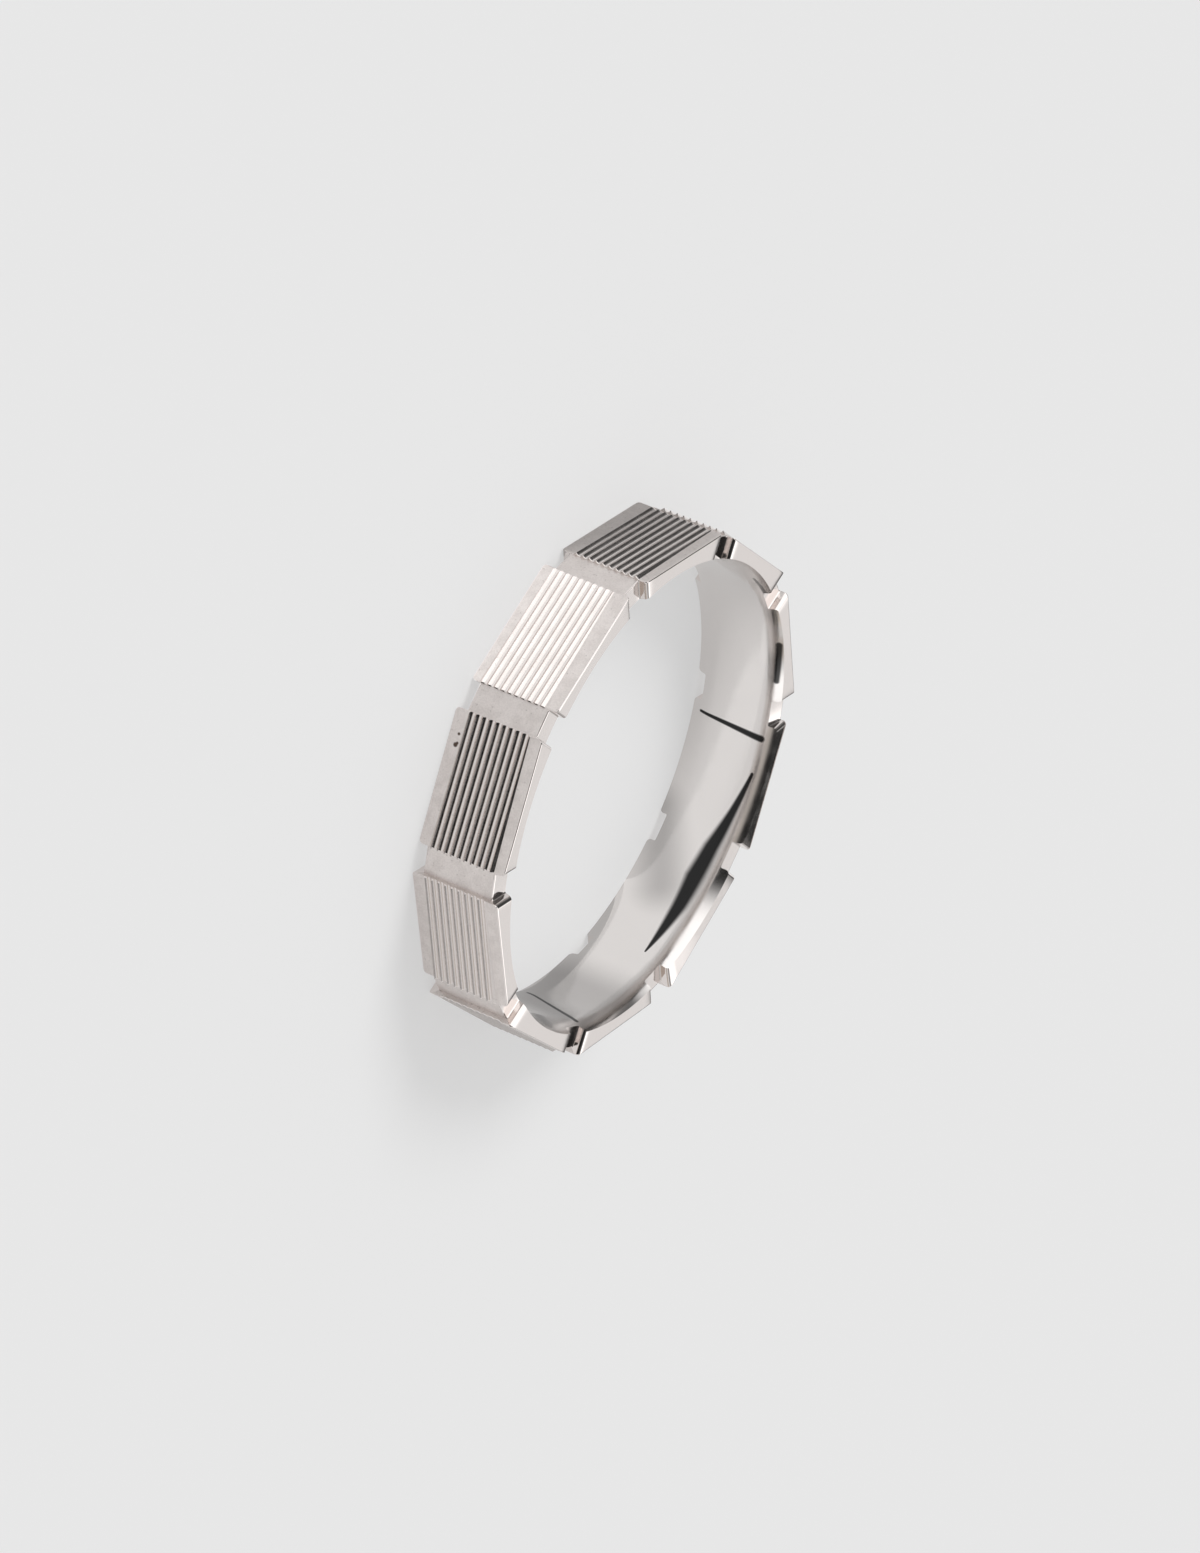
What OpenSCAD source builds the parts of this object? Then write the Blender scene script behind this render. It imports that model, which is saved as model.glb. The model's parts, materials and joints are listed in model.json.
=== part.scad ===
// Panel ring: a one-piece finger ring, a round smooth bore inside ten flat fluted panels.
// It lies on its side: the finger hole stands along Z, the lower side faces lie at Z = 0.
// Seen from above, each panel runs counter-clockwise from its high head to its low tail.

/* [Band] */
// Radius of the finger hole
bore_r = 8.65; // [7.8:0.05:8.9]
// Width of the ring along its axis, over the panels
band_w = 3.5; // [3.3:0.1:6]
// Rounding between the finger hole and each side face
rim_r = 0.3; // [0.1:0.05:0.35]

/* [Panels] */
// Number of flat panels around the ring
panel_count = 10; // [9:1:12]
// Height of the flute crests above the ring's axis at the head end of a panel
crest_head_h = 9.77; // [9.75:0.01:9.95]
// Height of the flute crests above the ring's axis at the tail end of a panel
crest_tail_h = 9.67; // [9.65:0.01:9.74]
// Height of the plain margins above the ring's axis at the head end of a panel
margin_head_h = 9.74; // [9.7:0.01:9.74]
// Height of a neck's flat above the ring's axis; the margins end flush with it at the tail
neck_h = 9.53; // [9.45:0.01:9.6]

/* [Flutes] */
// Number of flutes on one panel
flute_count = 9; // [3:2:9]
// Distance between two flute crests
flute_pitch = 0.27; // [0.2:0.01:0.27]
// Depth of a flute under its crests
flute_depth = 0.1; // [0.05:0.01:0.11]

/* [Notches] */
// Length of a neck between two panels
notch_len = 1.05; // [0.8:0.05:1.4]
// Width of the necks along the ring's axis
neck_w = 2.8; // [2.6:0.05:3]
// Fillet in the inner corners of a notch
fillet_r = 0.16; // [0.08:0.01:0.18]

/* [Hidden] */
$fn = 96;
mid_z = band_w / 2;
step_deg = 360 / panel_count;
notch_half = notch_len / 2;
notch_depth = (band_w - neck_w) / 2;
head_pt = notch_pt(-1, crest_head_h, notch_half);
tail_pt = notch_pt(0, crest_tail_h, -notch_half);
chord = tail_pt - head_pt;
chord_len = norm(chord);
chord_deg = atan2(chord[1], chord[0]);
field_w = flute_count * flute_pitch;
// Depth to which the raised field is sunk into the band, so that they join
field_depth = 0.3;
// The flutes cut this much wider than their pitch, so that neighbours meet in sharp crests
crest_trim = 0.006;
flute_r = (pow(flute_pitch / 2, 2) + pow(flute_depth, 2)) / (2 * flute_depth) + crest_trim;
// Length of a notch cutter along the radius, and how far each cutter passes the faces it cuts
cutter_len = 4;
over = 1;

// Point in the plane of the ring, given in the frame of notch i: height over the axis, way along the notch
function notch_pt(i, height, along) =
    let (a = (i + 0.5) * step_deg)
    [height * cos(a) - along * sin(a), height * sin(a) + along * cos(a)];

// The three outline points between the middle of notch i - 1 and the middle of notch i
function panel_outline(i) = [
    notch_pt(i - 1, neck_h, notch_half),
    notch_pt(i - 1, margin_head_h, notch_half),
    notch_pt(i, neck_h, -notch_half)
];

// Panel frame: X from head to tail along the crests, Y inwards, Z along the ring's axis
module panel_frame(i) {
    rotate([0, 0, i * step_deg])
        translate([head_pt[0], head_pt[1], mid_z])
            rotate([0, 0, chord_deg]) children();
}

// Band over its whole width: the tilted plain margins of the panels and the flat necks between them
module band_blank() {
    linear_extrude(height = band_w)
        polygon([for (i = [0 : panel_count - 1]) for (p = panel_outline(i)) p]);
}

// Raised middle of a panel, with walls that slope at 45 degrees down to the margins
module field_block() {
    half = field_w / 2;
    foot = half + field_depth;
    rotate([90, 0, 90]) linear_extrude(height = chord_len)
        polygon([[0, -half], [field_depth, -foot], [field_depth, foot], [0, half]]);
}

// Round-bottomed flutes along a panel, meeting in sharp crests
module flutes() {
    for (j = [0 : flute_count - 1])
        translate([-over, flute_depth - flute_r, (j - (flute_count - 1) / 2) * flute_pitch])
            rotate([0, 90, 0]) cylinder(r = flute_r, h = chord_len + 2 * over);
}

// Cutter that leaves a neck narrower than the panels: X along the radius, Z away from the neck
module notch_cutter() {
    translate([0, fillet_r - notch_half, 0])
        cube([cutter_len, notch_len - 2 * fillet_r, notch_depth + over]);
    translate([0, -notch_half, fillet_r])
        cube([cutter_len, notch_len, notch_depth + over]);
    for (side = [-1, 1])
        translate([0, side * (notch_half - fillet_r), fillet_r])
            rotate([0, 90, 0]) cylinder(r = fillet_r, h = cutter_len);
}

// The pair of cutters of notch i, one at each side face
module notch(i) {
    rotate([0, 0, (i + 0.5) * step_deg])
        for (flip = [0, 1])
            translate([bore_r - over, 0, mid_z]) mirror([0, 0, flip])
                translate([0, 0, neck_w / 2]) notch_cutter();
}

// Ring that leaves the rounded edge between the finger hole and the upper side face
module rim_cut() {
    rotate_extrude() difference() {
        translate([bore_r - rim_r, band_w - rim_r]) square(2 * rim_r);
        translate([bore_r + rim_r, band_w - rim_r]) circle(r = rim_r);
    }
}

// The whole ring, one solid
module band() {
    color("silver") {
        difference() {
            band_blank();
            for (i = [0 : panel_count - 1]) notch(i);
            translate([0, 0, -over]) cylinder(r = bore_r, h = band_w + 2 * over);
            rim_cut();
            translate([0, 0, band_w]) mirror([0, 0, 1]) rim_cut();
        }
        for (i = [0 : panel_count - 1]) panel_frame(i) difference() {
            field_block();
            flutes();
        }
    }
}

band();
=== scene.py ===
"""Visual model of the panel ring: a one-piece fluted finger ring of polished pale metal.

Lengths are in metres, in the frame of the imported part: the ring lies on its side on the floor at Z = 0,
with the finger hole along Z. Seen from above, each panel runs counter-clockwise from its high head to its
low tail.
"""

import json
import logging
import math
from dataclasses import dataclass
from enum import Enum
from typing import NamedTuple

import bmesh
import bpy
import numpy as np
from mathutils import Matrix, Vector

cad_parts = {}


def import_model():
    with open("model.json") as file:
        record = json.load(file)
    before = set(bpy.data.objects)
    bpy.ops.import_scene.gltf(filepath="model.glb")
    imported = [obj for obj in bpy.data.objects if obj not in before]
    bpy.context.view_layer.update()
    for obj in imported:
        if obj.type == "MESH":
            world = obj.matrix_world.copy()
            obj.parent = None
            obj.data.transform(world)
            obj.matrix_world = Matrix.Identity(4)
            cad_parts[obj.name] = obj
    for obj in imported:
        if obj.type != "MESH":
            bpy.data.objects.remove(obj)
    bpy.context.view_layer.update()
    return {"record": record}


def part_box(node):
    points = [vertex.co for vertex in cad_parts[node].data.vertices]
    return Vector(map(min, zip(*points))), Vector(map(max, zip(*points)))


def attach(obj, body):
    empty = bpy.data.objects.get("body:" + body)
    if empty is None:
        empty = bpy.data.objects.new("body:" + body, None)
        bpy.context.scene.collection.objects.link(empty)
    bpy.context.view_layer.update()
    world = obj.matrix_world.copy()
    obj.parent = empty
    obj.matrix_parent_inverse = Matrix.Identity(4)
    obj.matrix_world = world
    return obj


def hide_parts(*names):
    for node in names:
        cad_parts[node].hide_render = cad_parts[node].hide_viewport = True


MM = 0.001
MICRON = 0.001 * MM
HALF_TURN = 180.0
LOG = logging.getLogger("panel_ring")

# What an input of a node gets: a socket to link to it, or a value.
Socket = bpy.types.NodeSocket
Feed = Socket | float | str | tuple[float, ...] | Vector | bpy.types.Material


class Region(Enum):
    """Finish that a face of the band has."""

    FLATS = 0
    FLUTES = 1
    SIDES = 2
    BORE = 3


class Zone(Enum):
    """Part of the band that a cross-section lies in, or that a row of faces joins."""

    NECK = "neck"
    PANEL = "panel"
    STEP = "step"


class Strip(Enum):
    """Lengthwise strip of faces, by its place across the band."""

    FIELD = "field"
    MARGIN = "margin"
    SIDE = "side"
    BORE = "bore"


@dataclass(frozen=True)
class RingSizes:
    """Driving sizes of the band."""

    bore_radius: float
    width: float
    panels: int = 10
    crest_head: float = 9.77 * MM
    crest_tail: float = 9.67 * MM
    margin_head: float = 9.74 * MM
    neck: float = 9.53 * MM
    dome: float = 0.18 * MM
    dome_start: float = 0.85 * MM
    flutes: int = 9
    flute_pitch: float = 0.27 * MM
    flute_depth: float = 0.1 * MM
    notch_length: float = 1.05 * MM
    neck_width: float = 2.8 * MM
    fillet: float = 0.06 * MM
    wing_corner: float = 0.16 * MM
    tail_step: float = 0.03 * MM
    edge: float = 0.045 * MM
    wear_reach: float = 0.16 * MM
    wear_depth: float = 0.085 * MM
    hold: float = 0.012 * MM

    @property
    def half_step(self) -> float:
        """Half the angle between two panels."""
        return math.pi / self.panels

    @property
    def half_notch(self) -> float:
        """Half the length of a neck."""
        return self.notch_length / 2

    @property
    def field_half(self) -> float:
        """Half the width of the fluted field."""
        return self.flutes * self.flute_pitch / 2

    @property
    def dome_radius(self) -> float:
        """Radius of the bore's rounding across the band, which widens the hole towards the side faces."""
        reach = self.width / 2 - self.dome_start
        return (reach**2 + self.dome**2) / (2 * self.dome)

    @property
    def flute_radius(self) -> float:
        """Radius of a flute's round bottom."""
        half = self.flute_pitch / 2
        return (half**2 + self.flute_depth**2) / (2 * self.flute_depth)

    def notch_point(self, side: int, height: float, along: float) -> np.ndarray:
        """Gives a point in the ring's plane, placed from the notch before or after the panel on +X.

        Args:
            side: -1 for the notch at the head of the panel, 1 for the one at its tail.
            height: Height over the ring's axis.
            along: Way along the notch, counter-clockwise.

        Returns:
            The point's X and Y.
        """
        angle = side * self.half_step
        radial = np.array([math.cos(angle), math.sin(angle)])
        tangent = np.array([-radial[1], radial[0]])
        return height * radial + along * tangent


@dataclass(frozen=True)
class Station:
    """One cross-section of the band: the plane that stands on a line through the ring's plane.

    Heights are along that line, from its point nearest to the ring's axis. The foot is where the fluted
    field ends across the band, and the share is the way along the panel or the neck, from 0 to 1. The
    drops are what the rounded ends take off the margins and the field, and the wear is what is rubbed off
    the crests.
    """

    zone: Zone
    origin: np.ndarray
    direction: np.ndarray
    half_width: float
    foot: float
    crest: float
    margin: float
    depth_factor: float
    bore: float
    share: float
    drop: float = 0.0
    field_drop: float = 0.0
    wear: float = 0.0


@dataclass(frozen=True)
class ProfilePoint:
    """One point of a cross-section, with its part in the hand-made differences between panels."""

    along: float
    across: float
    strip: Strip
    field_weight: float = 0.0
    lean_weight: float = 0.0


@dataclass
class PanelSector:
    """One panel and the neck at its tail, lofted through cross-sections."""

    sizes: RingSizes
    flute_steps: int = 8
    corner_steps: int = 6
    panel_steps: int = 11
    edge_steps: int = 3
    dome_steps: int = 12

    @staticmethod
    def line_hit(origin: np.ndarray, direction: np.ndarray, start: np.ndarray, end: np.ndarray) -> float:
        """Finds how far along a station's line it meets the line through two points.

        Args:
            origin: Point of the station's line nearest to the ring's axis.
            direction: Unit vector along the station's line.
            start: First point of the other line.
            end: Second point of the other line.

        Returns:
            The distance along the station's line.
        """
        normal = np.array([end[1] - start[1], start[0] - end[0]])
        return float((start - origin) @ normal / (direction @ normal))

    def panel_station(self, share: float, gap: float) -> Station:
        """Makes the cross-section at a share of the panel's length.

        Args:
            share: 0 at the head, 1 at the tail.
            gap: Distance to the nearer end of the panel.

        Returns:
            The cross-section.
        """
        s = self.sizes
        head = s.notch_point(-1, s.crest_head, s.half_notch)
        tail = s.notch_point(1, s.crest_tail, -s.half_notch)
        angle = (2 * share - 1) * s.half_step
        direction = np.array([math.cos(angle), math.sin(angle)])
        crest_point = head + share * (tail - head)
        origin = crest_point - (crest_point @ direction) * direction
        chord = (tail - head) / np.linalg.norm(tail - head)
        facing = np.array([chord[1], -chord[0]])
        crest = float(crest_point @ direction)
        margin = self.line_hit(
            origin,
            direction,
            s.notch_point(-1, s.margin_head, s.half_notch),
            s.notch_point(1, s.neck + s.tail_step, -s.half_notch),
        )
        inset = max(0.0, s.wing_corner - gap)
        bevel = max(0.0, s.edge - gap)
        at_head = share < 0.5
        drop = (s.edge if at_head else s.tail_step) * (1 - math.sqrt(1 - (bevel / s.edge) ** 2))
        worn = max(0.0, s.wear_reach - gap) if at_head else 0.0
        return Station(
            zone=Zone.PANEL,
            origin=origin,
            direction=direction,
            half_width=s.width / 2 - s.wing_corner + math.sqrt(s.wing_corner**2 - inset**2),
            foot=s.field_half + crest - margin,
            crest=crest,
            margin=margin,
            depth_factor=1 / float(direction @ facing),
            bore=math.sqrt(s.bore_radius**2 - float(origin @ origin)),
            share=share,
            drop=drop,
            field_drop=0.0 if at_head else drop,
            wear=s.wear_depth * (1 - math.sqrt(1 - (worn / s.wear_reach) ** 2)),
        )

    def neck_station(self, side: int, offset: float) -> Station:
        """Makes a cross-section of a neck.

        Args:
            side: -1 for the notch at the panel's head, 1 for the one at its tail.
            offset: Way along the notch from its middle, counter-clockwise.

        Returns:
            The cross-section.
        """
        s = self.sizes
        origin = s.notch_point(side, 0.0, offset)
        direction = s.notch_point(side, 1.0, 0.0)
        into_fillet = max(0.0, abs(offset) - s.half_notch + s.fillet)
        turned = (offset + s.half_notch) / s.notch_length
        foot_tail = s.field_half + s.crest_tail - s.neck
        foot_head = s.field_half + s.crest_head - s.margin_head
        return Station(
            zone=Zone.NECK,
            origin=origin,
            direction=direction,
            half_width=s.neck_width / 2 + s.fillet - math.sqrt(s.fillet**2 - into_fillet**2),
            foot=foot_tail + turned * (foot_head - foot_tail),
            crest=s.neck,
            margin=s.neck,
            depth_factor=0.0,
            bore=math.sqrt(s.bore_radius**2 - offset**2),
            share=turned,
        )

    def stations(self) -> list[Station]:
        """Lists the cross-sections from the panel's head to the next panel's head.

        Returns:
            The cross-sections in order, closest together where the outline is round.
        """
        s = self.sizes
        turns = [math.pi / 2 * i / self.corner_steps for i in range(self.corner_steps + 1)]
        chord = np.linalg.norm(
            s.notch_point(1, s.crest_tail, -s.half_notch) - s.notch_point(-1, s.crest_head, s.half_notch)
        )
        gaps = [s.wing_corner * (1 - math.cos(t)) for t in turns]
        fillets = [s.fillet * (1 - math.sin(t)) for t in turns]
        inner = [
            s.wing_corner / chord + (1 - 2 * s.wing_corner / chord) * i / self.panel_steps
            for i in range(1, self.panel_steps)
        ]
        found = [self.neck_station(-1, s.half_notch)]
        found += [self.panel_station(gap / chord, gap) for gap in gaps]
        found += [self.panel_station(share, s.wing_corner) for share in inner]
        found += [self.panel_station(1 - gap / chord, gap) for gap in reversed(gaps)]
        found += [self.neck_station(1, -s.half_notch + gap) for gap in reversed(fillets)]
        found.append(self.neck_station(1, 0.0))
        found += [self.neck_station(1, s.half_notch - gap) for gap in fillets]
        return found

    def outer_half(self, st: Station) -> list[ProfilePoint]:
        """Lists the points from the middle of the outer face to the upper side face.

        Args:
            st: The cross-section.

        Returns:
            The points, in order, without the one in the very middle.
        """
        s = self.sizes
        on_panel = st.zone is Zone.PANEL
        weight = 1.0 if on_panel else 0.0
        steps = self.flute_steps
        points = []
        for i in range(1, s.flutes * steps // 2 + 1):
            across = i * s.flute_pitch / steps
            from_centre = (across + s.flute_pitch / 2) % s.flute_pitch - s.flute_pitch / 2
            depth = s.flute_depth - s.flute_radius + math.sqrt(s.flute_radius**2 - from_centre**2)
            height = st.crest - max(depth * st.depth_factor + st.field_drop, st.wear)
            points.append(ProfilePoint(height if on_panel else s.neck, across, Strip.FIELD, weight))
        top = st.margin - st.drop
        border = st.half_width - s.edge
        points.append(ProfilePoint(top, st.foot, Strip.FIELD, weight))
        points.append(ProfilePoint(top, (st.foot + border) / 2, Strip.MARGIN, weight / 2))
        points.append(ProfilePoint(top, border - s.hold, Strip.MARGIN))
        for i in range(self.edge_steps + 1):
            turn = math.pi / 2 * i / self.edge_steps
            across = border + s.edge * math.sin(turn)
            strip = Strip.SIDE if i else Strip.MARGIN
            along = top - s.edge * (1 - math.cos(turn))
            points.append(ProfilePoint(along, across, strip, lean_weight=1.0))
        return points

    def inner_half(self, st: Station, top: float) -> list[ProfilePoint]:
        """Lists the points down the upper side face and over the bore's rounding.

        Args:
            st: The cross-section.
            top: Height of the side face's outer edge.

        Returns:
            The points, in order, from the outer edge inwards.
        """
        s = self.sizes
        last = math.asin((st.half_width - s.dome_start) / s.dome_radius)
        start = st.bore + s.dome_radius * (1 - math.cos(last))
        points = []
        for share in (1 - s.hold / (top - start), 0.5):
            along = start + (top - start) * share
            points.append(ProfilePoint(along, st.half_width, Strip.SIDE, lean_weight=share))
        for i in range(self.dome_steps + 1):
            turn = last * (1 - i / self.dome_steps)
            along = st.bore + s.dome_radius * (1 - math.cos(turn))
            strip = Strip.BORE if i else Strip.SIDE
            points.append(ProfilePoint(along, s.dome_start + s.dome_radius * math.sin(turn), strip))
        return points

    def profile(self, st: Station) -> list[ProfilePoint]:
        """Lists all points of a cross-section, once round, from the middle of the outer face.

        Args:
            st: The cross-section.

        Returns:
            The points in order; the lower half has no share in the lean of the upper side faces.
        """
        outer = self.outer_half(st)
        upper = outer + self.inner_half(st, outer[-1].along)
        lower = [ProfilePoint(p.along, -p.across, p.strip, p.field_weight) for p in reversed(upper)]
        middle = st.crest - self.sizes.flute_depth * st.depth_factor - st.field_drop
        first = ProfilePoint(middle, 0.0, Strip.FIELD, 1.0 if st.zone is Zone.PANEL else 0.0)
        opposite = ProfilePoint(st.bore, 0.0, Strip.BORE)
        return [first, *upper, opposite, *lower]

    def build(self) -> bpy.types.Object:
        """Builds the mesh, with the attributes that the ring's node tree reads.

        Returns:
            The object that is repeated round the ring.
        """
        sections = [(st, self.profile(st)) for st in self.stations()]
        count = len(sections[0][1])
        vertices = []
        for st, points in sections:
            for p in points:
                x, y = st.origin + p.along * st.direction
                vertices.append((x, y, p.across + self.sizes.width / 2))
        faces, regions = [], []
        for i, ((before, profile), (after, _)) in enumerate(zip(sections, sections[1:])):
            zone = before.zone if before.zone is after.zone else Zone.STEP
            row, next_row = i * count, (i + 1) * count
            for j in range(count):
                k = (j + 1) % count
                farther = k if 2 * j < count else j
                faces.append((row + j, next_row + j, next_row + k, row + k))
                regions.append(self.region_of(zone, profile[farther].strip))
        mesh = bpy.data.meshes.new("panel_sector")
        mesh.from_pydata(vertices, [], faces)
        flat = [(st, p) for st, points in sections for p in points]
        layers = {
            "field_weight": [p.field_weight for _, p in flat],
            "head_weight": [p.lean_weight * (1 - st.share) * (st.zone is Zone.PANEL) for st, p in flat],
            "tail_weight": [p.lean_weight * st.share * (st.zone is Zone.PANEL) for st, p in flat],
            "neck_weight": [p.lean_weight * (st.zone is Zone.NECK and st.share < 1) for st, p in flat],
        }
        for name, values in layers.items():
            layer = mesh.attributes.new(name, "FLOAT", "POINT")
            layer.data.foreach_set("value", values)
        layer = mesh.attributes.new("region", "INT", "FACE")
        layer.data.foreach_set("value", [r.value for r in regions])
        made = bpy.data.objects.new("panel_sector", mesh)
        bpy.context.scene.collection.objects.link(made)
        return made

    @staticmethod
    def region_of(zone: Zone, strip: Strip) -> Region:
        """Picks the finish of a face.

        Args:
            zone: What the face's row joins.
            strip: The face's place across the band.

        Returns:
            The finish: the panels' flutes are cut bright, and a notch's walls are as the side faces.
        """
        if strip is Strip.BORE:
            return Region.BORE
        if strip is Strip.FIELD and zone is Zone.PANEL:
            return Region.FLUTES
        if strip is Strip.SIDE:
            return Region.SIDES
        return Region.FLATS


@dataclass(frozen=True)
class PanelTouch:
    """What the maker's hand changed on one panel: its flutes sit off centre, its upper side faces lean.

    A lean is how far the outer edge of the side face lies below its place: at the panel's head, at its
    tail, and on the neck behind the tail.
    """

    field_shift: float = 0.0
    head_lean: float = 0.0
    tail_lean: float = 0.0
    neck_lean: float = 0.0


@dataclass(frozen=True)
class NodeBench:
    """A node tree in the making, and the nodes that it needs again and again.

    The constants are the numbers of the colour sockets of a Mix node, and of the whole-number sockets of a
    Compare node, which share their names with others.
    """

    tree: bpy.types.NodeTree
    MIX_UNDER = 6
    MIX_OVER = 7
    MIX_RESULT = 2
    COMPARED = 2
    COMPARED_WITH = 3

    def feed(self, place: Socket, value: Feed) -> None:
        """Gives an input its value.

        Args:
            place: The input.
            value: A socket to link to it, or what to set on it.
        """
        if isinstance(value, Socket):
            self.tree.links.new(value, place)
        else:
            place.default_value = value

    def node(
        self, kind: str, feeds: dict[str | int, Feed] | None = None, **values: object
    ) -> bpy.types.Node:
        """Adds a node.

        Args:
            kind: The node's type.
            feeds: What its inputs get, by their names or numbers.
            **values: Attributes to set on it first.

        Returns:
            The node.
        """
        made = self.tree.nodes.new(kind)
        for name, value in values.items():
            setattr(made, name, value)
        for place, value in (feeds or {}).items():
            self.feed(made.inputs[place], value)
        return made

    def math(self, operation: str, *values: Socket | float) -> Socket:
        """Adds a Math node.

        Args:
            operation: The node's operation.
            *values: Its inputs.

        Returns:
            The result's socket.
        """
        return self.node("ShaderNodeMath", dict(enumerate(values)), operation=operation).outputs[0]

    def vector_math(self, operation: str, *vectors: Socket | tuple[float, ...]) -> bpy.types.Node:
        """Adds a Vector Math node.

        Args:
            operation: The node's operation.
            *vectors: Its inputs.

        Returns:
            The node, because some operations give a vector and some a number.
        """
        return self.node("ShaderNodeVectorMath", dict(enumerate(vectors)), operation=operation)

    def ramp(
        self, value: Socket, source: tuple[float, float], target: tuple[float, float] = (0.0, 1.0)
    ) -> Socket:
        """Maps a value from one range to another, smoothly and held at the ends.

        Args:
            value: Socket of the value.
            source: Range that it comes from.
            target: Range that it goes to.

        Returns:
            The mapped value's socket.
        """
        feeds = {"Value": value}
        feeds |= zip(("From Min", "From Max", "To Min", "To Max"), (*source, *target))
        return self.node("ShaderNodeMapRange", feeds, interpolation_type="SMOOTHSTEP").outputs["Result"]

    def mix_colour(self, share: Socket, under: Feed, over: Feed) -> Socket:
        """Lays one colour over another.

        Args:
            share: Socket of how much the upper one covers, from 0 to 1.
            under: The lower colour, or its socket.
            over: The upper colour, or its socket.

        Returns:
            The mixed colour's socket.
        """
        feeds = {"Factor": share, self.MIX_UNDER: under, self.MIX_OVER: over}
        return self.node("ShaderNodeMix", feeds, data_type="RGBA").outputs[self.MIX_RESULT]

    def on_object(self) -> Socket:
        """Adds the Object coordinates and gives their socket."""
        return self.node("ShaderNodeTexCoord").outputs["Object"]


class BandTree:
    """Geometry Nodes tree that sets one sector per point round the ring and joins them."""

    TURN = "Turn between panels"
    SECTOR = "Sector"
    JOIN = "Joining distance"

    def __init__(self, materials: dict[Region, bpy.types.Material]) -> None:
        """Builds the tree.

        Args:
            materials: The material of each region.
        """
        self.tree = bpy.data.node_groups.new("ring_of_panels", "GeometryNodeTree")
        self.bench = NodeBench(self.tree)
        face = self.tree.interface
        face.new_socket("Geometry", in_out="INPUT", socket_type="NodeSocketGeometry")
        kinds = {
            self.SECTOR: "NodeSocketObject",
            self.TURN: "NodeSocketFloat",
            self.JOIN: "NodeSocketFloat",
        }
        self.inputs = {
            name: face.new_socket(name, in_out="INPUT", socket_type=kind).identifier
            for name, kind in kinds.items()
        }
        face.new_socket("Geometry", in_out="OUTPUT", socket_type="NodeSocketGeometry")
        self.build(materials)

    def attribute(self, name: str, kind: str = "FLOAT") -> Socket:
        """Adds a node that reads a named attribute and gives its value's socket."""
        made = self.bench.node("GeometryNodeInputNamedAttribute", {"Name": name}, data_type=kind)
        return made.outputs["Attribute"]

    def hand_shift(self) -> Socket:
        """Adds the nodes for what the maker's hand changed.

        Returns:
            The socket of how far each point is moved up.
        """
        shift = self.bench.math("MULTIPLY", self.attribute("field_weight"), self.attribute("field_shift"))
        for part in ("head", "tail", "neck"):
            weight, lean = self.attribute(f"{part}_weight"), self.attribute(f"{part}_lean")
            shift = self.bench.math("SUBTRACT", shift, self.bench.math("MULTIPLY", weight, lean))
        return shift

    def build(self, materials: dict[Region, bpy.types.Material]) -> None:
        """Wires the tree: points to instances, realized, touched by hand, joined and dressed.

        Args:
            materials: The material of each region.
        """
        bench = self.bench
        source = bench.node("NodeGroupInput").outputs
        sector = bench.node(
            "GeometryNodeObjectInfo", {"Object": source[self.SECTOR]}, transform_space="ORIGINAL"
        )
        index = bench.node("GeometryNodeInputIndex").outputs[0]
        turn = bench.node("ShaderNodeCombineXYZ", {"Z": bench.math("MULTIPLY", index, source[self.TURN])})
        rotation = bench.node("FunctionNodeEulerToRotation", {0: turn.outputs[0]})
        feeds = {
            "Points": source["Geometry"],
            "Instance": sector.outputs["Geometry"],
            "Rotation": rotation.outputs[0],
        }
        spread = bench.node("GeometryNodeInstanceOnPoints", feeds)
        real = bench.node("GeometryNodeRealizeInstances", {0: spread.outputs[0]})
        offset = bench.node("ShaderNodeCombineXYZ", {"Z": self.hand_shift()})
        feeds = {"Geometry": real.outputs[0], "Offset": offset.outputs[0]}
        touched = bench.node("GeometryNodeSetPosition", feeds)
        feeds = {"Geometry": touched.outputs[0], "Distance": source[self.JOIN]}
        last = bench.node("GeometryNodeMergeByDistance", feeds).outputs[0]
        for region, material in materials.items():
            feeds = {bench.COMPARED: self.attribute("region", "INT"), bench.COMPARED_WITH: region.value}
            chosen = bench.node("FunctionNodeCompare", feeds, data_type="INT", operation="EQUAL")
            feeds = {"Geometry": last, "Selection": chosen.outputs[0], "Material": material}
            last = bench.node("GeometryNodeSetMaterial", feeds).outputs[0]
        bench.node("NodeGroupOutput", {0: last})


@dataclass(frozen=True)
class Speck:
    """A small dark mark on the metal: where it is, and how large."""

    place: tuple[float, float, float]
    radius: float


class ShadeStop(NamedTuple):
    """Where a dark patch painted in the bore passes: azimuth in degrees, height and half its width in
    millimetres.
    """

    azimuth: float
    height: float
    half_width: float


@dataclass(frozen=True)
class PaintedBoreShade:
    """A dark patch painted in the bore, from stop to stop, straight on the unrolled bore: painted shade,
    painted reflections and thin dark lines.

    The patch is full dark out to the core, a share of its half width, and fades from there.
    """

    stops: tuple[ShadeStop, ...]
    core: float = 0.5
    strength: float = 1.0


# Three small pits in one panel's margin.
MARGIN_SPECKS = (
    Speck(place=(4.059 * MM, 8.545 * MM, 0.36 * MM), radius=0.11 * MM),
    Speck(place=(4.13 * MM, 8.525 * MM, 0.41 * MM), radius=0.07 * MM),
    Speck(place=(4.441 * MM, 8.435 * MM, 0.38 * MM), radius=0.07 * MM),
)
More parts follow.
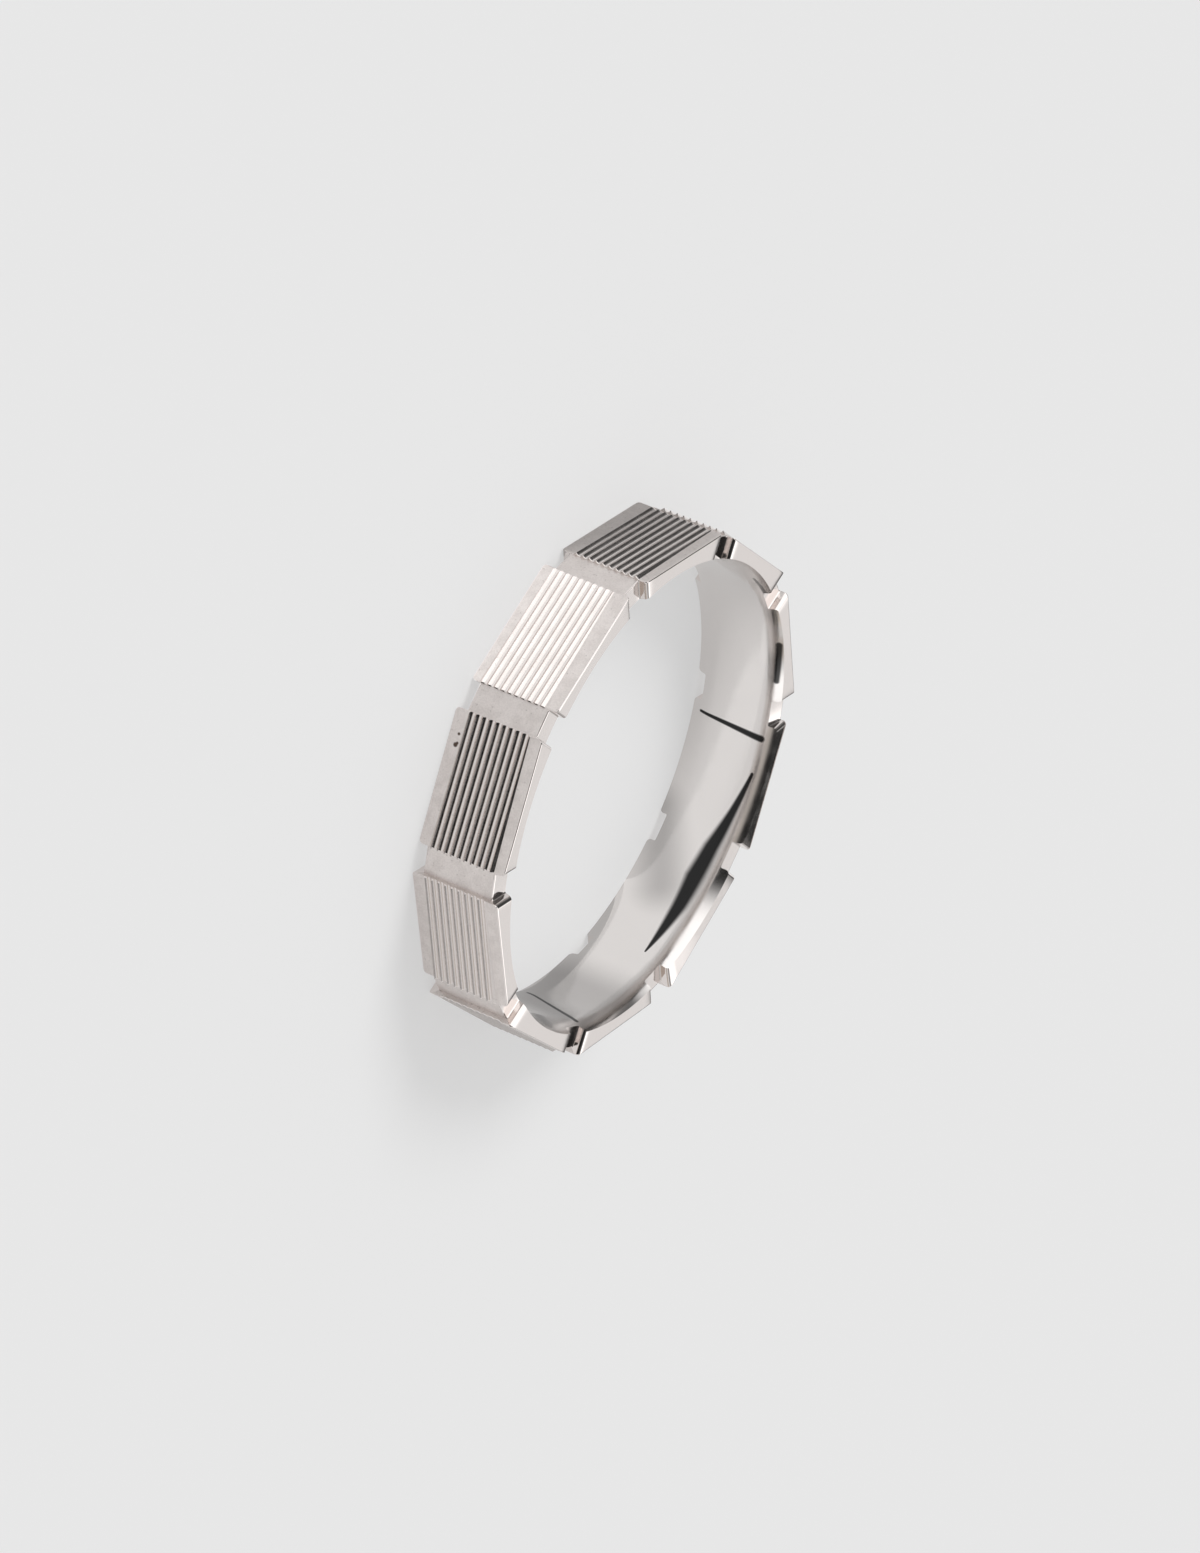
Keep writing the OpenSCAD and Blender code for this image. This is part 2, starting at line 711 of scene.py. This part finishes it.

# Dark patches painted into the bore's colour: painted shade, painted reflections and two thin dark lines.
# A patch that crosses the half turn is there twice, because the unrolled bore ends at that azimuth.
BORE_PAINTED_SHADE = (
    # Two thin dark lines painted across the bore.
    PaintedBoreShade(stops=(ShadeStop(-96.0, 0.4, 0.07), ShadeStop(-97.0, 3.0, 0.17))),
    PaintedBoreShade(stops=(ShadeStop(172.0, 0.4, 0.07), ShadeStop(167.0, 2.9, 0.15))),
    # A painted reflection: the dark streak that widens, and painted soft shade beside it.
    PaintedBoreShade(
        stops=(
            ShadeStop(-106.0, 3.0, 0.08),
            ShadeStop(-116.0, 2.75, 0.22),
            ShadeStop(-126.0, 2.5, 0.44),
            ShadeStop(-134.0, 2.42, 0.54),
            ShadeStop(-142.0, 2.46, 0.42),
            ShadeStop(-157.0, 2.4, 0.05),
        ),
        core=0.4,
    ),
    PaintedBoreShade(stops=(ShadeStop(-122.0, 0.0, 1.4), ShadeStop(-139.0, 1.4, 1.5)), core=0.0, strength=0.36),
    # Painted shade straight across the bore, beyond both side faces, and a painted dark reflection beside
    # it.
    PaintedBoreShade(stops=(ShadeStop(-184.0, -2.0, 3.2), ShadeStop(-184.0, 5.5, 3.2)), core=0.4, strength=0.38),
    PaintedBoreShade(stops=(ShadeStop(176.0, -2.0, 3.2), ShadeStop(176.0, 5.5, 3.2)), core=0.4, strength=0.38),
    PaintedBoreShade(stops=(ShadeStop(158.0, 2.1, 0.4), ShadeStop(150.0, 3.0, 0.6)), core=0.1, strength=0.6),
    # Two painted dark reflections on the bore's upper edge.
    PaintedBoreShade(stops=(ShadeStop(-70.0, 3.35, 0.17), ShadeStop(-81.0, 3.25, 0.15)), core=0.4, strength=0.95),
    PaintedBoreShade(stops=(ShadeStop(-43.0, 3.15, 0.08), ShadeStop(-54.0, 3.3, 0.14)), core=0.3, strength=0.7),
)


@dataclass(frozen=True)
class MetalFinish:
    """Polished pale metal, with the fine marks that one way of working leaves on it, and in the bore
    painted shade and painted reflections.

    The painted marks of the bore lie on a round wall, whose radius is theirs.
    """

    name: str
    tint: tuple[float, float, float] = (0.81, 0.757, 0.732)
    # Colour of the stains, and in the bore of the painted shade and painted reflections.
    stain_and_shade_tint: tuple[float, float, float] = (0.11, 0.08, 0.065)
    roughness_low: float = 0.08
    roughness_high: float = 0.14
    pattern_detail: float = 3.0
    cloud_size: float = 0.8 * MM
    cloud_range: tuple[float, float] = (0.35, 0.65)
    cloud_tone: float = 0.02
    grain_size: float = 0.06 * MM
    grain_height: float = 0.2 * MICRON
    grain_tone: float = 0.03
    tone_range: tuple[float, float] = (0.4, 0.6)
    speck_size: float = 0.11 * MM
    speck_detail: float = 2.0
    speck_range: tuple[float, float] = (0.62, 0.74)
    speck_share: float = 0.3
    specks: tuple[Speck, ...] = ()
    # The bore's marks are painted shade and painted reflections, on a wall of this radius.
    marks: tuple[PaintedBoreShade, ...] = ()
    painted_shade_radius: float = 0.0

    def noise(self, bench: NodeBench, size: float, detail: float) -> Socket:
        """Adds a noise pattern on Object coordinates.

        Args:
            bench: The material's nodes.
            size: Size of the pattern's largest marks.
            detail: Number of finer layers.

        Returns:
            The socket of its value, from 0 to 1.
        """
        feeds = {"Vector": bench.on_object(), "Scale": 1 / size, "Detail": detail}
        return bench.node("ShaderNodeTexNoise", feeds).outputs["Fac"]

    def wear_mask(self, bench: NodeBench, cloud: Socket, grain: Socket) -> Socket:
        """Adds the mask of the even wear: clouds, grain and fine specks.

        Args:
            bench: The material's nodes.
            cloud: Socket of the cloud pattern.
            grain: Socket of the grain pattern.

        Returns:
            The mask's socket.
        """
        spots = self.noise(bench, self.speck_size, self.speck_detail)
        specks = bench.ramp(spots, self.speck_range, (0.0, self.speck_share))
        clouds = bench.ramp(cloud, self.tone_range, (0.0, self.cloud_tone))
        grains = bench.ramp(grain, self.tone_range, (0.0, self.grain_tone))
        return bench.math("MAXIMUM", specks, bench.math("ADD", clouds, grains))

    def speck_mask(self, bench: NodeBench, mask: Socket) -> Socket:
        """Adds the placed specks to a mask.

        Args:
            bench: The material's nodes.
            mask: Socket of the mask so far.

        Returns:
            The socket of the mask with the specks.
        """
        for speck in self.specks:
            away = bench.vector_math("DISTANCE", bench.on_object(), speck.place).outputs["Value"]
            mask = bench.math("MAXIMUM", mask, bench.ramp(away, (speck.radius, speck.radius / 2)))
        return mask

    def painted_shade_mask(self, bench: NodeBench, mask: Socket) -> Socket:
        """Adds the bore's painted shade and painted reflections to a mask.

        Args:
            bench: The material's nodes.
            mask: Socket of the mask so far.

        Returns:
            The socket of the mask with the painted shade and reflections.
        """
        x, y, z = bench.node("ShaderNodeSeparateXYZ", {0: bench.on_object()}).outputs
        around = bench.math("MULTIPLY", bench.math("ARCTAN2", y, x), self.painted_shade_radius)
        unrolled = bench.node("ShaderNodeCombineXYZ", {"X": around, "Y": z}).outputs[0]
        # Each mark darkens the bore's colour: painted shade and painted reflections.
        for mark in self.marks:
            for first, last in zip(mark.stops, mark.stops[1:]):
                reach = self.painted_shade_reach(bench, unrolled, first, last)
                inside = bench.ramp(reach, (1.0, mark.core), (0.0, mark.strength))
                mask = bench.math("MAXIMUM", mask, inside)
        return mask

    def painted_shade_reach(self, bench: NodeBench, place: Socket, first: ShadeStop, last: ShadeStop) -> Socket:
        """Adds the nodes that measure how far off a painted patch's middle line a place on the unrolled
        bore is.

        Args:
            bench: The material's nodes.
            place: Socket of the place.
            first: Stop that the line runs from.
            last: Stop that it runs to.

        Returns:
            The socket of the distance, as a share of the patch's half width there.
        """
        start, end = (
            Vector((math.radians(stop.azimuth) * self.painted_shade_radius, stop.height * MM, 0.0))
            for stop in (first, last)
        )
        way = end - start
        from_start = bench.vector_math("SUBTRACT", place, tuple(start)).outputs[0]
        along = bench.vector_math("DOT_PRODUCT", from_start, tuple(way / way.length_squared))
        share = bench.math("MINIMUM", bench.math("MAXIMUM", along.outputs["Value"], 0.0), 1.0)
        nearest = bench.node("ShaderNodeVectorMath", {0: way, "Scale": share}, operation="SCALE")
        off = bench.vector_math("DISTANCE", from_start, nearest.outputs[0]).outputs["Value"]
        half_first, half_last = first.half_width * MM, last.half_width * MM
        half = bench.math("MULTIPLY_ADD", share, half_last - half_first, half_first)
        return bench.math("DIVIDE", off, half)

    def material(self) -> bpy.types.Material:
        """Makes the material.

        Returns:
            The metal, with all its wear, and in the bore its painted shade and painted reflections, as one
            mask between its tint and its stain and shade tint.
        """
        made = bpy.data.materials.new(self.name)
        made.use_nodes = True
        bench = NodeBench(made.node_tree)
        cloud = self.noise(bench, self.cloud_size, self.pattern_detail)
        grain = self.noise(bench, self.grain_size, self.pattern_detail)
        mask = self.speck_mask(bench, self.wear_mask(bench, cloud, grain))
        # Painted shade and painted reflections, laid into the bore's colour.
        if self.marks:
            mask = self.painted_shade_mask(bench, mask)
        feeds = {"Strength": 1.0, "Distance": self.grain_height, "Height": grain}
        bump = bench.node("ShaderNodeBump", feeds)
        feeds = {
            "Metallic": 1.0,
            "Roughness": bench.ramp(cloud, self.cloud_range, (self.roughness_low, self.roughness_high)),
            "Base Color": bench.mix_colour(mask, (*self.tint, 1.0), (*self.stain_and_shade_tint, 1.0)),
            "Normal": bump.outputs[0],
        }
        shader = made.node_tree.nodes["Principled BSDF"]
        for place, value in feeds.items():
            bench.feed(shader.inputs[place], value)
        return made


@dataclass
class PanelRing:
    """The whole ring: ten panels and necks round a bore, one piece of metal."""

    sizes: RingSizes
    body: str = "root"
    node: str = "band"
    slot: str = "polished_metal"
    crease_deg: float = 28.0
    join: float = 0.5 * MICRON
    touches: tuple[PanelTouch, ...] = (
        PanelTouch(field_shift=0.07 * MM),
        PanelTouch(field_shift=-0.11 * MM),
        PanelTouch(field_shift=0.02 * MM),
        PanelTouch(),
        PanelTouch(field_shift=0.04 * MM),
        PanelTouch(field_shift=-0.03 * MM),
        PanelTouch(field_shift=0.02 * MM, head_lean=-0.06 * MM, tail_lean=0.03 * MM),
        PanelTouch(field_shift=-0.05 * MM, head_lean=0.06 * MM, tail_lean=0.07 * MM, neck_lean=-0.05 * MM),
        PanelTouch(field_shift=0.03 * MM),
        PanelTouch(field_shift=-0.02 * MM),
    )

    def finishes(self) -> dict[Region, MetalFinish]:
        """Gives the finish of each region.

        Returns:
            The finishes by region.
        """
        return {
            Region.FLATS: MetalFinish(
                "satin_flats",
                roughness_low=0.4,
                roughness_high=0.46,
                cloud_size=0.45 * MM,
                cloud_tone=0.06,
                grain_tone=0.07,
                specks=MARGIN_SPECKS,
            ),
            Region.FLUTES: MetalFinish(
                "bright_flutes",
                roughness_low=0.16,
                roughness_high=0.22,
                speck_share=0.15,
            ),
            Region.SIDES: MetalFinish("polished_sides", speck_share=0.0, cloud_tone=0.0, grain_tone=0.0),
            Region.BORE: MetalFinish(
                "bore_with_painted_shade",
                tint=(0.795, 0.762, 0.744),
                # The bore's stain colour is that of its painted shade and painted reflections.
                stain_and_shade_tint=(0.03, 0.03, 0.03),
                roughness_low=0.12,
                roughness_high=0.17,
                speck_share=0.0,
                cloud_tone=0.0,
                grain_tone=0.0,
                # Dark marks of painted shade and painted reflections.
                marks=BORE_PAINTED_SHADE,
                painted_shade_radius=self.sizes.bore_radius,
            ),
        }

    def points(self) -> bpy.types.Object:
        """Makes one point per panel, with what the maker's hand changed there.

        Returns:
            The object that the node tree works on.
        """
        mesh = bpy.data.meshes.new("panel_ring")
        mesh.from_pydata([(0.0, 0.0, 0.0)] * self.sizes.panels, [], [])
        for name in ("field_shift", "head_lean", "tail_lean", "neck_lean"):
            layer = mesh.attributes.new(name, "FLOAT", "POINT")
            layer.data.foreach_set("value", [getattr(t, name) for t in self.touches])
        made = bpy.data.objects.new("panel_ring", mesh)
        bpy.context.scene.collection.objects.link(made)
        return made

    def bake(self, ring: bpy.types.Object) -> None:
        """Turns the node tree's result into the ring's own plain mesh.

        Args:
            ring: The object with the node tree's modifier.
        """
        graph = bpy.context.evaluated_depsgraph_get()
        mesh = bpy.data.meshes.new_from_object(ring.evaluated_get(graph), depsgraph=graph)
        ring.modifiers.clear()
        ring.data = mesh
        mesh.name = "panel_ring"
        work = bmesh.new()
        work.from_mesh(mesh)
        bmesh.ops.dissolve_degenerate(work, edges=work.edges, dist=self.join)
        bmesh.ops.recalc_face_normals(work, faces=work.faces)
        open_edges = sum(1 for edge in work.edges if not edge.is_manifold)
        work.to_mesh(mesh)
        work.free()
        mesh.shade_smooth()
        mesh.set_sharp_from_angle(angle=math.radians(self.crease_deg))
        LOG.info("ring mesh: %d faces, %d open edges", len(mesh.polygons), open_edges)

    def build(self) -> bpy.types.Object:
        """Builds the ring and hands it to the frame.

        Returns:
            The ring's object.
        """
        sector = PanelSector(self.sizes).build()
        tree = BandTree({region: finish.material() for region, finish in self.finishes().items()})
        ring = self.points()
        modifier = ring.modifiers.new("panels", "NODES")
        modifier.node_group = tree.tree
        modifier[tree.inputs[tree.SECTOR]] = sector
        modifier[tree.inputs[tree.TURN]] = 2 * self.sizes.half_step
        modifier[tree.inputs[tree.JOIN]] = self.join
        self.bake(ring)
        bpy.data.objects.remove(sector)
        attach(ring, self.body)
        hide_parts(self.node)
        return ring


def grey(level: float) -> tuple[float, float, float, float]:
    """Gives a neutral colour."""
    return (level, level, level, 1.0)


@dataclass(frozen=True)
class TentCard:
    """A lighter or darker field on the light tent, as seen from the ring. Angles are in degrees."""

    azimuth: float
    elevation: float
    half_width: float
    half_height: float
    soft: float
    light: float
    warmth: float = 0.0

    @property
    def colour(self) -> tuple[float, float, float, float]:
        """The card's light as a colour."""
        return (self.light * (1 + self.warmth), self.light, self.light * (1 - self.warmth), 1.0)


@dataclass
class LightTent:
    """White tent with one bright side and dark cards, as jewellery is lit.

    The cards are what the metal mirrors, a later one over an earlier one. The floor gets the tent's even
    fill light, so that it stays plain.
    """

    base: float = 1.0
    fill: float = 0.6
    backdrop: float = 0.79
    cards: tuple[TentCard, ...] = (
        TentCard(azimuth=-2, elevation=30, half_width=24, half_height=40, soft=6, light=1.35),
        TentCard(azimuth=-60, elevation=68, half_width=80, half_height=10, soft=6, light=1.5),
        TentCard(azimuth=-60, elevation=5, half_width=26, half_height=19, soft=6, light=0.22),
        TentCard(azimuth=-77, elevation=34, half_width=30, half_height=17, soft=6, light=0.06),
        TentCard(azimuth=75, elevation=35, half_width=45, half_height=40, soft=8, light=0.02),
        TentCard(azimuth=82, elevation=1, half_width=36, half_height=9, soft=3, light=0.46, warmth=0.07),
        TentCard(azimuth=130, elevation=82, half_width=100, half_height=12, soft=6, light=0.02),
        TentCard(azimuth=130, elevation=20, half_width=10, half_height=24, soft=4, light=1.3),
        TentCard(azimuth=160, elevation=22, half_width=20, half_height=30, soft=6, light=0.74),
        TentCard(azimuth=176, elevation=52, half_width=16, half_height=13, soft=6, light=0.2),
        TentCard(azimuth=152, elevation=8, half_width=6, half_height=14, soft=3, light=0.45, warmth=0.1),
        TentCard(azimuth=173, elevation=10, half_width=8, half_height=13, soft=4, light=0.6, warmth=0.1),
        TentCard(azimuth=-145, elevation=6, half_width=24, half_height=12, soft=3, light=0.45),
        TentCard(azimuth=-128, elevation=25, half_width=16, half_height=5, soft=2, light=0.84),
        TentCard(azimuth=-122, elevation=12, half_width=14, half_height=7, soft=2, light=0.03),
        TentCard(azimuth=-125, elevation=42, half_width=14, half_height=10, soft=3, light=1.7),
    )

    def build(self) -> bpy.types.World:
        """Builds the world that lights the ring.

        Returns:
            The world, which is now the scene's own.
        """
        world = bpy.data.worlds.new("light_tent")
        bpy.context.scene.world = world
        world.use_nodes = True
        world.node_tree.nodes.clear()
        bench = NodeBench(world.node_tree)
        azimuth, elevation = self.angles(bench)
        light = bench.node("ShaderNodeRGB").outputs[0]
        light.default_value = grey(self.base)
        for card in self.cards:
            light = self.add_card(bench, card, azimuth, elevation, light)
        shown = bench.node("ShaderNodeBackground", {"Color": light}).outputs[0]
        path = bench.node("ShaderNodeLightPath").outputs
        for ray, level in (("Is Diffuse Ray", self.fill), ("Is Camera Ray", self.backdrop)):
            plain = bench.node("ShaderNodeBackground", {"Color": grey(level)}).outputs[0]
            shown = bench.node("ShaderNodeMixShader", {0: path[ray], 1: shown, 2: plain}).outputs[0]
        bench.node("ShaderNodeOutputWorld", {"Surface": shown})
        return world

    @staticmethod
    def angles(bench: NodeBench) -> tuple[Socket, Socket]:
        """Adds the nodes that turn a direction into azimuth and elevation.

        Args:
            bench: The world's nodes.

        Returns:
            The sockets of both angles, in degrees.
        """
        way = bench.node("ShaderNodeTexCoord").outputs["Generated"]
        x, y, z = bench.node("ShaderNodeSeparateXYZ", {0: way}).outputs
        azimuth = bench.math("DEGREES", bench.math("ARCTAN2", y, x))
        elevation = bench.math("DEGREES", bench.math("ARCSINE", z))
        return azimuth, elevation

    @staticmethod
    def add_card(
        bench: NodeBench, card: TentCard, azimuth: Socket, elevation: Socket, under: Socket
    ) -> Socket:
        """Lays a card over what the tent shows so far.

        Args:
            bench: The world's nodes.
            card: The card.
            azimuth: Socket of the azimuth in degrees.
            elevation: Socket of the elevation in degrees.
            under: Socket of the light so far.

        Returns:
            The socket of the light with the card.
        """
        turned = bench.math("WRAP", bench.math("SUBTRACT", azimuth, card.azimuth), HALF_TURN, -HALF_TURN)
        raised = bench.math("SUBTRACT", elevation, card.elevation)
        masks = [
            bench.ramp(bench.math("ABSOLUTE", angle), (half + card.soft, half - card.soft))
            for angle, half in ((turned, card.half_width), (raised, card.half_height))
        ]
        return bench.mix_colour(bench.math("MULTIPLY", *masks), under, card.colour)


@dataclass
class KeyLight:
    """Broad soft light from one side, which gives the floor its shadow. Angles are in degrees."""

    azimuth: float = -10.0
    elevation: float = 36.0
    spread: float = 26.0
    strength: float = 1.5

    def build(self) -> bpy.types.Object:
        """Builds the light; the metal shows the tent's own bright side in its place.

        Returns:
            The light's object.
        """
        data = bpy.data.lights.new("key_light", "SUN")
        data.energy = self.strength
        data.angle = math.radians(self.spread)
        light = bpy.data.objects.new("key_light", data)
        bpy.context.scene.collection.objects.link(light)
        light.rotation_euler = (0.0, math.radians(90 - self.elevation), math.radians(self.azimuth))
        light.visible_glossy = False
        return light


@dataclass(frozen=True)
class FloorPlate:
    """A flat plate of plain paint that also glows evenly, just under the ring and not part of it."""

    name: str
    corners: tuple[tuple[float, float], ...]
    glow: float
    paint: float = 0.0
    height: float = -0.002 * MM
    roughness: float = 0.9

    def build(self) -> bpy.types.Object:
        """Builds the plate.

        Returns:
            The plate's object.
        """
        mesh = bpy.data.meshes.new(self.name)
        mesh.from_pydata([(x, y, self.height) for x, y in self.corners], [], [range(len(self.corners))])
        plate = bpy.data.objects.new(self.name, mesh)
        bpy.context.scene.collection.objects.link(plate)
        material = bpy.data.materials.new(f"{self.name}_paint")
        material.use_nodes = True
        looks = {
            "Base Color": grey(self.paint),
            "Roughness": self.roughness,
            "Specular IOR Level": 0.0,
            "Emission Color": grey(1.0),
            "Emission Strength": self.glow,
        }
        shader = material.node_tree.nodes["Principled BSDF"]
        for place, value in looks.items():
            shader.inputs[place].default_value = value
        mesh.materials.append(material)
        return plate


@dataclass(frozen=True)
class FloorCard(FloorPlate):
    """A card on the floor beside the ring, which only the metal's reflections show."""

    def build(self) -> bpy.types.Object:
        """Builds the card and hides it from all but the reflections.

        Returns:
            The card's object.
        """
        card = super().build()
        card.visible_camera = False
        card.visible_diffuse = False
        card.visible_shadow = False
        card.visible_transmission = False
        return card


def in_mm(*corners: tuple[float, float]) -> tuple[tuple[float, float], ...]:
    """Gives corners that are written in millimetres."""
    return tuple((x * MM, y * MM) for x, y in corners)


FLOOR_PLATES = (
    FloorPlate(
        name="floor",
        corners=in_mm((-600.0, -600.0), (600.0, -600.0), (600.0, 600.0), (-600.0, 600.0)),
        glow=0.425,
        paint=0.42,
        height=-0.005 * MM,
    ),
    FloorCard(
        name="outer_grey_card",
        corners=in_mm((8.9, 3.2), (8.9, -3.0), (15.0, -14.5), (15.0, -7.0)),
        glow=0.4,
    ),
    FloorCard(
        name="outer_white_card",
        corners=in_mm((5.4, 7.6), (8.9, 3.4), (18.0, 4.2), (14.1, 9.5)),
        glow=1.05,
    ),
    FloorCard(
        name="inner_grey_card",
        corners=in_mm((-8.75, 2.6), (-8.75, -5.6), (-7.2, -5.6), (-8.0, 0.6)),
        glow=0.52,
    ),
    FloorCard(
        name="inner_white_card",
        corners=in_mm((-7.2, -2.6), (-6.9, -5.6), (2.0, -5.6), (2.0, -2.4)),
        glow=0.88,
    ),
)


@dataclass
class PhotoCamera:
    """Camera at the photograph's viewing angle to the ring: azimuth, elevation and roll in degrees."""

    azimuth: float = 59.586
    elevation: float = 25.211
    roll: float = 112.164
    distance: float = 267.858 * MM
    aim_right: float = 0.2823 * MM
    aim_down: float = 0.1415 * MM
    lens: float = 177.408
    sensor: float = 36.0
    nearest: float = 10 * MM
    farthest: float = 10.0

    def build(self, target: Vector) -> bpy.types.Object:
        """Builds the camera and makes it the scene's own.

        Args:
            target: Middle of the ring.

        Returns:
            The camera.
        """
        turn, rise = math.radians(self.azimuth), math.radians(self.elevation)
        back = Vector((math.cos(turn) * math.cos(rise), math.sin(turn) * math.cos(rise), math.sin(rise)))
        level = Vector((0, 0, 1)).cross(back).normalized()
        upright = back.cross(level)
        roll = math.radians(self.roll)
        right = math.cos(roll) * level + math.sin(roll) * upright
        up = back.cross(right)
        place = target + self.distance * back - self.aim_right * right + self.aim_down * up
        data = bpy.data.cameras.new("photo_camera")
        data.lens = self.lens
        data.sensor_width = self.sensor
        data.clip_start = self.nearest
        data.clip_end = self.farthest
        camera = bpy.data.objects.new("photo_camera", data)
        bpy.context.scene.collection.objects.link(camera)
        camera.matrix_world = Matrix.Translation(place) @ Matrix((right, up, back)).transposed().to_4x4()
        bpy.context.scene.camera = camera
        return camera


def main() -> None:
    """Builds the ring, the floor, the light and the camera in order."""
    logging.basicConfig(level=logging.INFO, format="%(name)s: %(message)s")
    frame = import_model()
    low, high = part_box("band")
    hole = next(m for m in frame["record"]["mounts"] if m["name"] == "finger_hole")
    sizes = RingSizes(bore_radius=hole["dims"]["r_mm"] * MM, width=high.z - low.z)
    ring = PanelRing(sizes).build()
    LOG.info("built %s, %d panels", ring.name, sizes.panels)
    for plate in FLOOR_PLATES:
        LOG.info("built %s", plate.build().name)
    world = LightTent().build()
    key = KeyLight().build()
    LOG.info("built %s and %s", world.name, key.name)
    camera = PhotoCamera().build(Vector((0.0, 0.0, (low.z + high.z) / 2)))
    LOG.info("built %s", camera.name)
    bpy.context.scene.view_settings.view_transform = "Standard"


if __name__ == "__main__":
    main()
